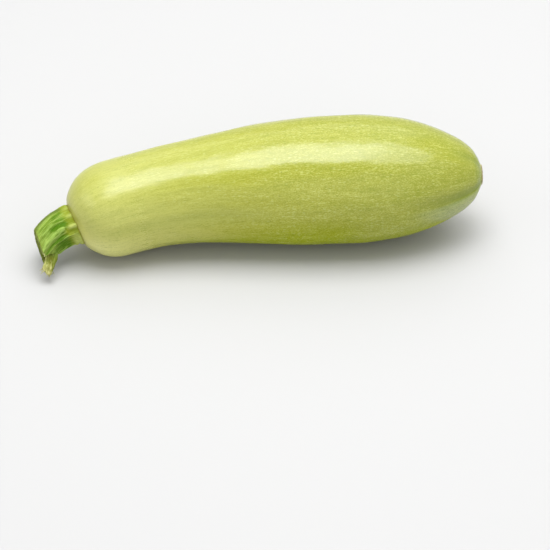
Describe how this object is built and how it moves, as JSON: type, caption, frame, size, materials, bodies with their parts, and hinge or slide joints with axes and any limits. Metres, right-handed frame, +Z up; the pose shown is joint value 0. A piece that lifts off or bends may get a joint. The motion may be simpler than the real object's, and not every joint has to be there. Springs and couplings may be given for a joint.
{
  "type": "courgette",
  "caption": "Pale green club-shaped courgette lying on its side, with soft lengthwise ribs, a hooked neck, a cut angled stalk with a torn strand, and a dry blossom scar.",
  "frame": {"origin": "the table's surface, under the middle of the object's bounding box", "axes": "+X from the stalk to the blossom end, +Y to the back, away from the side that the stalk droops towards, +Z up"},
  "size_m": [0.2054, 0.0655, 0.0584],
  "materials": {
    "skin": "waxy satin skin of a pale green courgette, with fine pale flecks along it",
    "stalk": "fibrous ribbed green stalk with pale ribs and a pale, dry cut end",
    "cork": "dry, matt, light brown corky scar"
  },
  "bodies": {
    "root": {"fruit": "skin", "stem": "stalk", "blossom_scar": "cork"}
  },
  "joints": []
}
